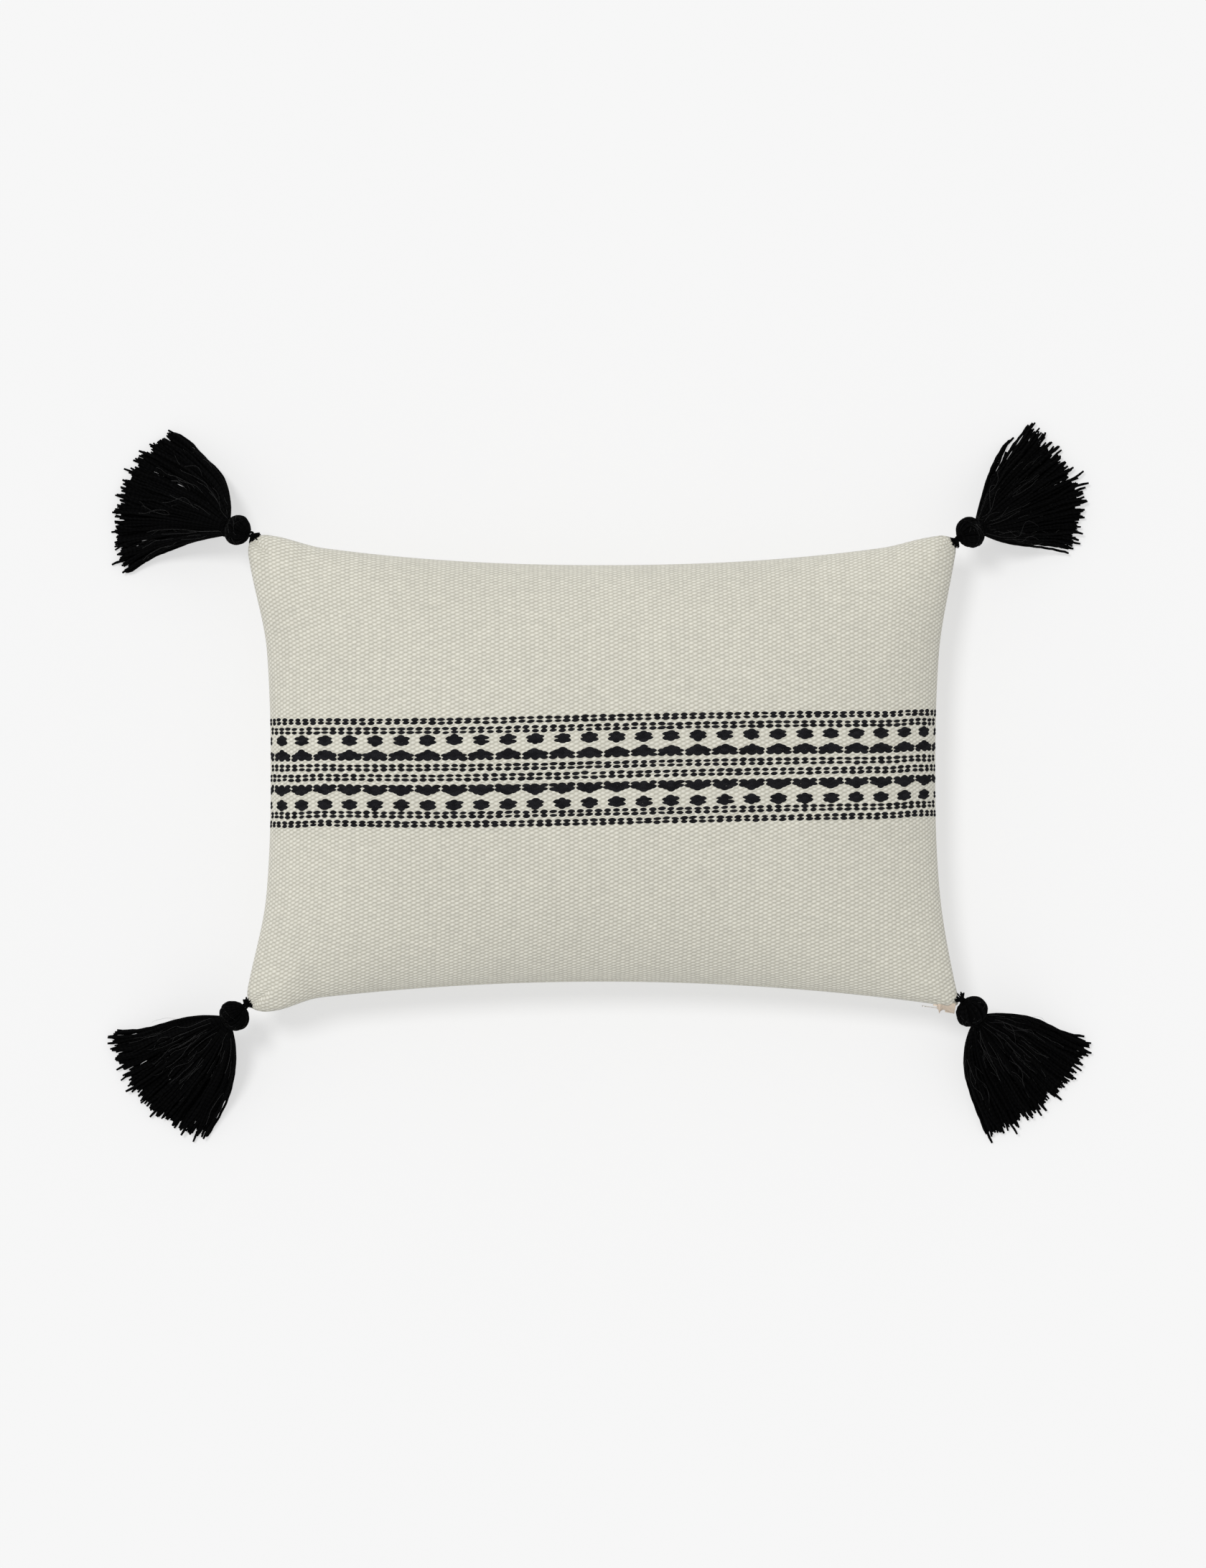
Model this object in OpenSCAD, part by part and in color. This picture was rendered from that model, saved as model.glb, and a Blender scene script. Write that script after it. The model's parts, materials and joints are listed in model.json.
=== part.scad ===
// Lumbar throw pillow, lying on its back panel, with a zip along its lower edge and a yarn tassel at each corner.
// X runs along the pillow, Y across it and Z up. The origin is the middle of the flat patch that it rests on.
// A stuffed pillow's sides pull in between its corners, so the outline is waisted on all four sides.

/* [Pillow] */
// Half length at the middle of the left and right sides
waist_half_x = 280; // [260:1:300]
// How far the two corners away from the zip reach past the waist, along X
far_ear_x = 17.5; // [10:0.5:25]
// How far the two corners at the zip reach past the waist, along X
zip_ear_x = 20.5; // [10:0.5:25]
// Distance from the origin to the middle of the side away from the zip
far_waist_y = 176; // [160:1:190]
// How far the corners away from the zip reach past that, along Y
far_ear_y = 25; // [10:1:30]
// Distance from the origin to the middle of the zip side
zip_waist_y = 175; // [160:1:190]
// How far the zip side's corners reach past that, along Y
zip_ear_y = 22; // [18:1:30]
// Height of the seam above the surface that the pillow rests on
seam_z = 60; // [55:1:65]
// Rise of the front panel's crown above the seam
front_crown = 80; // [60:1:90]
// Depth that the back panel would have below the seam if nothing flattened it
back_crown = 70; // [66:1:80]
// Thickness of the woven cover
cover_t = 1.6; // [1:0.1:2]
// Thickness of the insert's cotton case
case_t = 1; // [0.6:0.1:1.2]

/* [Zip] */
// Distance between the cover's two folded edges over the zip
zip_gap = 8.4; // [8.4:0.1:9]
// Height of the chain, both coils together
chain_w = 4.4; // [4.4:0.1:4.6]
// Place along X of the slider's middle, closed
slider_x = 283; // [275:1:283]
// Place along X of the slider's middle, fully open
slider_open_x = -276; // [-276:1:-200]
// Length of the slider's body
slider_l = 9.2; // [8:0.2:9.2]
// Length of the pull tab, from its pin
pull_l = 14; // [8:1:16]

/* [Tassels] */
// Greatest radius of a tassel's head
head_r = 12.5; // [10:0.5:12.5]
// Distance from a tassel's swing pin to the tips of its yarn
tassel_l = 128; // [122:1:140]
// Half of the angle that the yarn fans out to
fan_half = 36; // [20:1:36]
// Half of the fanned yarn's thickness at its tips
fan_half_t = 3; // [2:0.5:4]
// Radius of the tied neck
neck_r = 7.6; // [6:0.2:8]

/* [Hidden] */

cream = [0.8, 0.79, 0.74];
cotton = [0.93, 0.92, 0.9];
fibre = [0.97, 0.97, 0.97];
beige = [0.8, 0.74, 0.65];
nickel = [0.7, 0.69, 0.66];
yarn_black = [0.06, 0.06, 0.06];

// Panels. A panel is a grid over the square from -1 to 1 both ways, closer together towards the seam.
cells_u = 24;
cells_v = 16;
// How fast the left and right sides, and the side away from the zip, curve out towards the corners
side_power = 2.5;
far_power = 2.2;
// The outer corners are nipped in by this much both ways, over a stretch this short
corner_nip = 2.6;
nip_power = 80;
// Where the cover's edges start to close over the zip's ends, how quickly, and how deep they part
lip_end_u = 0.967;
lip_closing = 0.025;
lip_depth = 0.15;
// Each inner layer's clearance inside the one around it
case_inset = 6;
case_drop = 2.4;
fill_gap = 0.4;

// Zip. Its seam lies on a circle around a far centre on the zip's side, and heights are from the seam.
zip_half_x = waist_half_x + zip_ear_x;
zip_radius = (zip_half_x * zip_half_x + zip_ear_y * zip_ear_y) / (2 * zip_ear_y);
zip_centre_y = -zip_waist_y - zip_radius;
tape_in = 2.2;
tape_t = 0.6;
tape_half = 4.6;
tape_edge = 0.9;
coil_in = 0.3;
coil_edge = 0.5;
// The chain runs a little past the slider's body at each end of its travel, and the tapes past the stops
chain_past = 0.4;
chain_left_x = slider_open_x - slider_l / 2 - chain_past;
chain_right_x = slider_x + slider_l / 2 + chain_past;
tape_end_x = chain_right_x + 2;
stop_l = 1.6;
plate_t = 1.4;
run_gap = 0.3;
slider_half_w = 3.7;
web_half = 0.25;
bail_out = 3;
bail_r = 0.5;
pull_bore = 0.65;
pull_eye_r = 1.25;
pull_half_w = 2;
pull_t = 0.8;

// Corners: place of the swing axis, direction of the stitches that hold it, direction of the tassel at rest
TOP_LEFT = [-296.5, 202, 128, 163];
TOP_RIGHT = [299, 198, 30, 28];
BOTTOM_LEFT = [-301.7, -195.9, 220, 221];
BOTTOM_RIGHT = [303.2, -191.2, -18, -50];
// Stitches and hanging loop
stitch_r = 1.2;
stitch_half_h = 2.7;
stitch_gap_half = 1.5;
stitch_bite = 9;
loop_bore = 1.5;
loop_r = 2.8;
loop_half_h = 1;
pin_reach = 5.8;
pin_r = 1;
pin_bore = 1.25;
pin_half_l = 4.6;
ear_r = 2.4;
ear_in = 1.6;
ear_out = 4.2;
// Head, along the tassel from its pin
head_start = 1.2;
head_mid = 9.3;
head_half_l = 8.6;
head_end = 15.6;
tie_gap = 0.2;
tie_end = 19.6;
tie_r = 9.2;
fan_step = 6;
rest_gap = 0.2;
// The yarn's tips just touch the surface that the pillow lies on
droop = asin((seam_z - rest_gap) / norm([tassel_l, fan_half_t])) - atan(fan_half_t / tassel_l);

// Half length along X on the row v, and distance along Y to the edge on the column u
function half_x(v) = waist_half_x + (v > 0 ? far_ear_x : zip_ear_x) * pow(abs(v), side_power);
function half_y(u, v) = v > 0
    ? far_waist_y + far_ear_y * pow(abs(u), far_power)
    : -zip_centre_y - sqrt(zip_radius * zip_radius - pow(u * zip_half_x, 2));
function nip(u, v) = corner_nip * pow(abs(u * v), nip_power);
function crown(u, v) = sqrt((1 - u * u) * (1 - v * v));
// Lift of the cover's edge where it is folded back beside the zip
function lip(u, v) = v > 0 ? 0 : zip_gap / 2
    * min(1, max(0, 1 - (abs(u) - lip_end_u) / lip_closing))
    * max(0, 1 - (1 + v) / lip_depth);
function spread(i, n) = sin(90 * (2 * i / n - 1));
function skin_point(u, v, inset, drop, lip_share, up) = [
    u * (half_x(v) - inset) - sign(u) * nip(u, v),
    v * (half_y(u, v) - inset) - sign(v) * nip(u, v),
    up > 0
        ? seam_z + lip_share * lip(u, v) + (front_crown - drop) * crown(u, v)
        : max(drop, seam_z - lip_share * lip(u, v) - (back_crown - drop) * crown(u, v))];
function skin(inset, drop, lip_share, up) = [
    for (j = [0 : cells_v]) for (i = [0 : cells_u])
        skin_point(spread(i, cells_u), spread(j, cells_v), inset, drop, lip_share, up)];
function cell(i, j) = j * (cells_u + 1) + i;
function on_rim(i, j) = i == 0 || i == cells_u || j == 0 || j == cells_v;
// A grid point's number, in the first skin's rim where two skins share it
function vertex(i, j, start, shared) = shared && on_rim(i, j) ? cell(i, j) : start + cell(i, j);
// Two triangles for each cell, split along the line that runs from the nearest corner towards the middle
function sheet_faces(start, up, shared = false) = [
    for (j = [0 : cells_v - 1]) for (i = [0 : cells_u - 1]) for (half = [0, 1])
        let (a = vertex(i, j, start, shared), b = vertex(i + 1, j, start, shared),
            c = vertex(i + 1, j + 1, start, shared), d = vertex(i, j + 1, start, shared),
            rising = (i < cells_u / 2) == (j < cells_v / 2),
            t = rising ? (half == 0 ? [a, b, c] : [a, c, d]) : (half == 0 ? [a, b, d] : [b, c, d]))
        up > 0 ? [t[2], t[1], t[0]] : t];
// The grid's edge, once round
rim = concat([for (i = [0 : cells_u - 1]) cell(i, 0)], [for (j = [0 : cells_v - 1]) cell(cells_u, j)],
    [for (i = [cells_u : -1 : 1]) cell(i, cells_v)], [for (j = [cells_v : -1 : 1]) cell(0, j)]);
function rim_faces(outer, inner, up) = [
    for (k = [0 : len(rim) - 1]) for (half = [0, 1])
        let (a = rim[k], b = rim[(k + 1) % len(rim)],
            t = half == 0 ? [outer + a, outer + b, inner + b] : [outer + a, inner + b, inner + a])
        up > 0 ? t : [t[2], t[1], t[0]]];

// A cloth panel: the outer skin, an inner one, and the ring between them where it meets the other panel
module panel(inset, drop, thickness, lip_share, up) {
    outer = skin(inset, drop, lip_share, up);
    inner = skin(inset + thickness, drop + thickness, lip_share, up);
    polyhedron(points = concat(outer, inner),
        faces = concat(sheet_faces(0, up), sheet_faces(len(outer), -up), rim_faces(0, len(outer), up)));
}

module cover_front() { color(cream) panel(0, 0, cover_t, 1, 1); }
module cover_back() { color(cream) panel(0, 0, cover_t, 1, -1); }
module insert_case_front() { color(cotton) panel(case_inset, case_drop, case_t, 0, 1); }
module insert_case_back() { color(cotton) panel(case_inset, case_drop, case_t, 0, -1); }

// Its two skins share their rim, because the stuffing comes to an edge at the seam
module fibre_fill() {
    inset = case_inset + case_t + fill_gap;
    drop = case_drop + case_t + fill_gap;
    upper = skin(inset, drop, 0, 1);
    lower = skin(inset, drop, 0, -1);
    color(fibre) polyhedron(points = concat(upper, lower),
        faces = concat(sheet_faces(0, 1), sheet_faces(len(upper), -1, true)));
}

// A strip along the zip's curve between two places on X: its section is a box, out from the seam and up
module zip_strip(from_x, to_x, out, depth, low, height) {
    start = asin(from_x / zip_radius);
    sweep = asin(to_x / zip_radius) - start;
    translate([0, zip_centre_y, seam_z]) rotate([0, 0, 90 - start - sweep])
        rotate_extrude(angle = sweep, $fn = 720)
            translate([zip_radius + out, low]) square([depth, height]);
}

// A frame at a place on the seam: X along it, Y into the pillow
module on_seam(x) {
    translate([0, zip_centre_y, seam_z]) rotate([0, 0, -asin(x / zip_radius)])
        translate([0, zip_radius, 0]) children();
}

// Each tape stands on edge just behind the folded cover, and only the width that shows between the folds and
// a little more is here. The front one's end turns out at the corner.
module zip_tape_front() {
    flap_out = 5.5;
    turn_l = 2.2;
    join = 0.2;
    color(beige) {
        zip_strip(-tape_end_x, tape_end_x, tape_in, tape_t, tape_edge, tape_half - tape_edge);
        // The turn starts clear of the stops
        on_seam(tape_end_x) translate([-join, -1, tape_edge]) cube([turn_l, tape_in + tape_t + 1, tape_t]);
        on_seam(tape_end_x) translate([-1.2, -flap_out, tape_edge]) cube([6.2, flap_out - 1 + join, tape_t]);
    }
}
module zip_tape_back() {
    color(beige) zip_strip(-tape_end_x, tape_end_x, tape_in, tape_t, -tape_half, tape_half - tape_edge);
}
module zip_coil_front() {
    color(beige) zip_strip(chain_left_x, chain_right_x, coil_in, tape_in - coil_in,
        coil_edge, chain_w / 2 - coil_edge);
}
module zip_coil_back() {
    color(beige) zip_strip(chain_left_x, chain_right_x, coil_in, tape_in - coil_in,
        -chain_w / 2, chain_w / 2 - coil_edge);
}
// One stop at the end of each coil, where the zip is closed
module zip_top_stops() {
    color(nickel) for (low = [coil_edge, -chain_w / 2])
        zip_strip(chain_right_x, chain_right_x + stop_l, -0.2, tape_in + 0.2, low, chain_w / 2 - coil_edge);
}
// One block across both coils, where the slider stops when the zip is open
module zip_bottom_stop() {
    color(nickel) zip_strip(chain_left_x - stop_l, chain_left_x, -0.2, tape_in + 0.2, -chain_w / 2, chain_w);
}

// Two plates with guides around the chain. A thin web in the gap between the coils joins them.
module zip_slider() {
    face_out = coil_in - 0.4 - plate_t;
    back_in = tape_in + tape_t + run_gap;
    guide = slider_half_w - chain_w / 2 - run_gap;
    color(beige) on_seam(slider_x) {
        translate([-slider_l / 2, face_out, -slider_half_w]) cube([slider_l, plate_t, 2 * slider_half_w]);
        translate([-slider_l / 2, back_in, -slider_half_w]) cube([slider_l, plate_t, 2 * slider_half_w]);
        translate([-slider_l / 2, face_out + 0.5, -web_half])
            cube([slider_l, back_in - face_out, 2 * web_half]);
        for (low = [slider_half_w - guide, -slider_half_w])
            translate([-slider_l / 2, face_out + 0.5, low])
                cube([slider_l, tape_in - run_gap - face_out - 0.5, guide]);
        for (low = [pull_half_w, -pull_half_w - 0.8])
            translate([-0.7, -bail_out - bail_r, low]) cube([1.4, bail_out + bail_r + face_out + 0.3, 0.8]);
        translate([0, -bail_out, -pull_half_w - 0.4]) cylinder(r = bail_r, h = 2 * pull_half_w + 0.8, $fn = 24);
    }
}
// The eye turns on the slider's bail, and the tab lies back along the closed chain
module zip_pull() {
    eye_half = pull_half_w - 0.4;
    color(nickel) on_seam(slider_x) translate([0, -bail_out, 0]) difference() {
        union() {
            translate([0, 0, -eye_half]) cylinder(r = pull_eye_r, h = 2 * eye_half, $fn = 32);
            translate([-pull_l + pull_half_w, -pull_t / 2, -eye_half])
                cube([pull_l - pull_half_w - 0.6, pull_t, 2 * eye_half]);
            translate([-pull_l + pull_half_w, pull_t / 2, 0]) rotate([90, 0, 0])
                cylinder(r = pull_half_w, h = pull_t, $fn = 32);
        }
        translate([0, 0, -pull_half_w]) cylinder(r = pull_bore, h = 2 * pull_half_w, $fn = 32);
    }
}

module at_corner(corner, direction) {
    translate([corner[0], corner[1], seam_z]) rotate([0, 0, direction]) children();
}
// A frame on the swing pin, with X along the tassel
module along_tassel(corner) {
    at_corner(corner, corner[3]) translate([pin_reach, 0, 0]) rotate([0, droop, 0]) children();
}

// Yarn stitches that clasp the cloth's corner above and below and leave an upright bar outside it
module corner_stitch(corner) {
    arm_t = stitch_half_h - stitch_gap_half;
    color(yarn_black) at_corner(corner, corner[2]) {
        translate([0, 0, -stitch_half_h]) cylinder(r = stitch_r, h = 2 * stitch_half_h, $fn = 32);
        for (low = [stitch_gap_half, -stitch_half_h])
            translate([-stitch_bite, -stitch_r, low]) cube([stitch_bite, 2 * stitch_r, arm_t]);
    }
}
// A short yarn loop: a ring round the upright bar, and the cross pin that the head swings on
module hang_loop(corner) {
    color(yarn_black) at_corner(corner, corner[3]) difference() {
        union() {
            translate([0, 0, -loop_half_h]) cylinder(r = loop_r, h = 2 * loop_half_h, $fn = 48);
            translate([0, -pin_r, -loop_half_h]) cube([pin_reach, 2 * pin_r, 2 * loop_half_h]);
            translate([pin_reach, pin_half_l, 0]) rotate([90, 0, 0])
                cylinder(r = pin_r, h = 2 * pin_half_l, $fn = 32);
        }
        translate([0, 0, -stitch_half_h]) cylinder(r = loop_bore, h = 2 * stitch_half_h, $fn = 48);
    }
}
// An egg of yarn, cut off at the pin and at the neck, with an ear on each side of the pin
function head_radius(x) = head_r * sqrt(1 - pow((x - head_mid) / head_half_l, 2));
module tassel_head(corner) {
    steps = 10;
    step = (head_end - head_start) / steps;
    outline = [for (k = [0 : steps]) let (x = head_start + k * step) [head_radius(x), x]];
    color(yarn_black) along_tassel(corner) difference() {
        union() {
            rotate([0, 90, 0]) rotate_extrude($fn = 64)
                polygon(concat([[0, head_start]], outline, [[0, head_end]]));
            for (side = [-1, 1]) {
                translate([0, side > 0 ? ear_out : -ear_in, 0]) rotate([90, 0, 0])
                    cylinder(r = ear_r, h = ear_out - ear_in, $fn = 48);
                translate([0, side > 0 ? ear_in : -ear_out, -ear_r])
                    cube([head_start + 1.6, ear_out - ear_in, 2 * ear_r]);
            }
        }
        translate([0, ear_out + 1, 0]) rotate([90, 0, 0]) cylinder(r = pin_bore, h = 2 * ear_out + 2, $fn = 32);
    }
}
module neck_tie(corner) {
    color(yarn_black) along_tassel(corner) translate([head_end + tie_gap, 0, 0]) rotate([0, 90, 0])
        difference() {
            cylinder(r = tie_r, h = tie_end - head_end - 2 * tie_gap, $fn = 64);
            translate([0, 0, -1]) cylinder(r = neck_r + tie_gap, h = tie_end, $fn = 64);
        }
}
// The yarn below the neck, fanned out flat
module tassel_skirt(corner) {
    color(yarn_black) along_tassel(corner) {
        translate([head_end, 0, 0]) rotate([0, 90, 0]) cylinder(r = neck_r, h = tie_end - head_end, $fn = 48);
        hull() {
            translate([tie_end - 0.1, 0, 0]) rotate([0, 90, 0]) cylinder(r = neck_r, h = 0.2, $fn = 32);
            translate([0, 0, -fan_half_t]) linear_extrude(2 * fan_half_t)
                polygon(concat([[tassel_l / 2, 0]],
                    [for (a = [-fan_half : fan_step : fan_half]) tassel_l * [cos(a), sin(a)]]));
        }
    }
}

cover_front();
cover_back();
insert_case_front();
insert_case_back();
fibre_fill();
zip_tape_front();
zip_tape_back();
zip_coil_front();
zip_coil_back();
zip_top_stops();
zip_bottom_stop();
zip_slider();
zip_pull();
corner_stitch(TOP_LEFT);  // corner_stitch_top_left
hang_loop(TOP_LEFT);  // hang_loop_top_left
tassel_head(TOP_LEFT);  // tassel_head_top_left
neck_tie(TOP_LEFT);  // neck_tie_top_left
tassel_skirt(TOP_LEFT);  // tassel_skirt_top_left
corner_stitch(TOP_RIGHT);  // corner_stitch_top_right
hang_loop(TOP_RIGHT);  // hang_loop_top_right
tassel_head(TOP_RIGHT);  // tassel_head_top_right
neck_tie(TOP_RIGHT);  // neck_tie_top_right
tassel_skirt(TOP_RIGHT);  // tassel_skirt_top_right
corner_stitch(BOTTOM_LEFT);  // corner_stitch_bottom_left
hang_loop(BOTTOM_LEFT);  // hang_loop_bottom_left
tassel_head(BOTTOM_LEFT);  // tassel_head_bottom_left
neck_tie(BOTTOM_LEFT);  // neck_tie_bottom_left
tassel_skirt(BOTTOM_LEFT);  // tassel_skirt_bottom_left
corner_stitch(BOTTOM_RIGHT);  // corner_stitch_bottom_right
hang_loop(BOTTOM_RIGHT);  // hang_loop_bottom_right
tassel_head(BOTTOM_RIGHT);  // tassel_head_bottom_right
neck_tie(BOTTOM_RIGHT);  // neck_tie_bottom_right
tassel_skirt(BOTTOM_RIGHT);  // tassel_skirt_bottom_right
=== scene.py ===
import json
import math

import bpy
import numpy as np
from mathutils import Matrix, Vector


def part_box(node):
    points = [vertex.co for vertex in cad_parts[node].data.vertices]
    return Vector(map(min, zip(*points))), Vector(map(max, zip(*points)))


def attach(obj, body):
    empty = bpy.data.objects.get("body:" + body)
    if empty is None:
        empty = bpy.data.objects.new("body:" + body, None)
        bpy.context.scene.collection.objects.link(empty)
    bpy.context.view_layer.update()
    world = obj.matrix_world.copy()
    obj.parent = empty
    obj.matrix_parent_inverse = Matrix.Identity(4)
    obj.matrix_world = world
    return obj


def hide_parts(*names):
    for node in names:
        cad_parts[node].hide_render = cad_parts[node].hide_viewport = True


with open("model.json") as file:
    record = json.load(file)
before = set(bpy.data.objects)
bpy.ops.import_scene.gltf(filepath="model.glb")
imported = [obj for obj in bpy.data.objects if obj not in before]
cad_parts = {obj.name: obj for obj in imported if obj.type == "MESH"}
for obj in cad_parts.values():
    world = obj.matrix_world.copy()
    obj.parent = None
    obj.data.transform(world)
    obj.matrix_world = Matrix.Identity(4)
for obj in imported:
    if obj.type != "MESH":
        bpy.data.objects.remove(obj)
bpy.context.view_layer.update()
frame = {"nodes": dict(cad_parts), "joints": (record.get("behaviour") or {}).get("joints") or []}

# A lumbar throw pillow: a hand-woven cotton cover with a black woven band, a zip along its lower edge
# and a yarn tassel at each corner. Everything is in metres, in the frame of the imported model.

CORNERS = ("top_left", "top_right", "bottom_left", "bottom_right")

# -------- the pillow's measures
SEAM_Z = 0.060
WAIST_X = 0.280
FAR_EAR_X = 0.0175
ZIP_EAR_X = 0.0205
FAR_WAIST_Y = 0.176
FAR_EAR_Y = 0.025
ZIP_WAIST_Y = 0.175
ZIP_EAR_Y = 0.022
SIDE_POWER = 2.5
FAR_POWER = 2.2
# The stuffing pushes each corner out into ears: how far along X and along Y, and how round the corner is
EARS = {(-1, 1): (0.0055, 0.0040, 0.022), (1, 1): (0.0032, 0.0030, 0.019),
    (-1, -1): (0.0042, 0.0065, 0.024), (1, -1): (0.0010, 0.0, 0.009)}
EAR_START = (0.50, 0.78)  # where the ears begin along a side edge, and along the far and the zip edges
EAR_RUN = (0.36, 0.13)
FRONT_CROWN = 0.080
BACK_CROWN = 0.070
LIP_RISE = 0.0036
LIP_END_U = 0.967
LIP_CLOSING = 0.025
LIP_DEPTH = 0.15
ZIP_HALF_X = WAIST_X + ZIP_EAR_X
ZIP_RADIUS = (ZIP_HALF_X**2 + ZIP_EAR_Y**2) / (2 * ZIP_EAR_Y)
ZIP_CENTRE_Y = -ZIP_WAIST_Y - ZIP_RADIUS

# -------- the cover's cloth
CUT = (0.606, 0.408)  # each panel's flat size between its seams
NET = (121, 81)  # points of a panel's net for the simulation
CLOTH_T = 0.0016
ROLL = 0.00095  # from the seam to where a panel's edge starts to turn in
SIM_FRAMES = 34
SIM_CAP = 0.006  # how far the simulation may move a point
REST_SOFTNESS = 0.004  # how gently the back panel turns up from the surface it rests on
WEAVE_PITCH = (0.00368, 0.00353)  # from column to column, and from float to float up a column

# -------- the woven band, in cloth coordinates
BAND_Y = 0.0016
DOT_PITCH = 0.00747
LATTICE = 0.00148  # height of one woven row
BAND_SLOPE = 0.0107  # rise for each metre across
BAND_BOW = 0.0134  # rise for each square metre from the middle
BAND_WAVE = 0.0012


# ======== meshes
def linked(name, data):
    made = bpy.data.objects.new(name, data)
    bpy.context.scene.collection.objects.link(made)
    return made


def new_object(name, mesh, material):
    made = linked(name, mesh)
    mesh.materials.append(material)
    mesh.shade_smooth()
    return made


def mesh_of(name, points, faces, uv_name=None, uv=None):
    """A mesh from arrays. uv holds one pair for each corner of each face, in order."""
    mesh = bpy.data.meshes.new(name)
    mesh.from_pydata(np.asarray(points).tolist(), [], faces)
    if uv_name:
        layer = mesh.uv_layers.new(name=uv_name)
        layer.data.foreach_set("uv", np.asarray(uv, np.float32).ravel())
    mesh.update()
    return mesh


def put_on_points(mesh, key, values):
    """One number for each of the mesh's points, for its material to read."""
    layer = mesh.attributes.new(key, "FLOAT", "POINT")
    layer.data.foreach_set("value", values.astype(np.float32))


def unit(v):
    return v / np.maximum(np.linalg.norm(v, axis=-1, keepdims=True), 1e-12)


def eased(count):
    """Numbers from -1 to 1 that lie closer together towards both ends."""
    return np.sin(np.linspace(-math.pi / 2, math.pi / 2, count))


def lengths_along(paths):
    """How far along its path each point lies."""
    steps = np.linalg.norm(np.diff(paths, axis=-2), axis=-1)
    return np.concatenate([np.zeros((*steps.shape[:-1], 1)), np.cumsum(steps, axis=-1)], axis=-1)


def tube_faces(index):
    """Faces round a tube, from its points' numbers: one row for each ring."""
    beside = np.roll(index, -1, axis=-1)
    corners = index[..., :-1, :], beside[..., :-1, :], beside[..., 1:, :], index[..., 1:, :]
    return np.stack(corners, -1).reshape(-1, 4)


def tubes(name, paths, radii, material, up=(0, 0, 1), sides=6):
    """m round yarns of n points each, as one mesh. radii may be one number, and up steers the rings."""
    paths = np.asarray(paths, float)
    m, n, _ = paths.shape
    radii = np.broadcast_to(np.asarray(radii, float), (m, n))
    along = unit(np.gradient(paths, axis=1))
    side = unit(np.cross(along, np.broadcast_to(np.asarray(up, float), paths.shape)))
    other = np.cross(side, along)
    turn = np.arange(sides) * 2 * math.pi / sides
    ring = side[:, :, None] * np.cos(turn)[:, None] + other[:, :, None] * np.sin(turn)[:, None]
    points = paths[:, :, None] + ring * radii[:, :, None, None]
    index = np.arange(m * n * sides).reshape(m, n, sides)
    quads = tube_faces(index)
    first = index[:, 0, ::-1].reshape(-1, sides)
    last = index[:, -1].reshape(-1, sides)
    length = lengths_along(paths)
    around = np.arange(sides) / sides
    low = np.broadcast_to(length[:, :-1, None], (m, n - 1, sides))
    high = np.broadcast_to(length[:, 1:, None], (m, n - 1, sides))
    left = np.broadcast_to(around, low.shape)
    right = left + 1 / sides
    uv = np.stack([low, left, low, right, high, right, high, left], -1).reshape(-1, 2)
    cap_uv = np.stack([np.zeros((2 * m * sides)), np.tile(around, 2 * m)], -1)
    mesh = mesh_of(name, points.reshape(-1, 3), quads.tolist() + first.tolist() + last.tolist(),
        "yarn", np.concatenate([uv, cap_uv]))
    tone = np.random.default_rng(m * 7 + n).random(m)
    put_on_points(mesh, "strand", np.repeat(tone, n * sides))
    return new_object(name, mesh, material)


def hand_over(piece, body, slot, *nodes):
    """The piece rides on a body and stands for these CAD nodes. The slot is not used."""
    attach(piece, body)
    if nodes:
        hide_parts(*nodes)
    return piece


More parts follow.
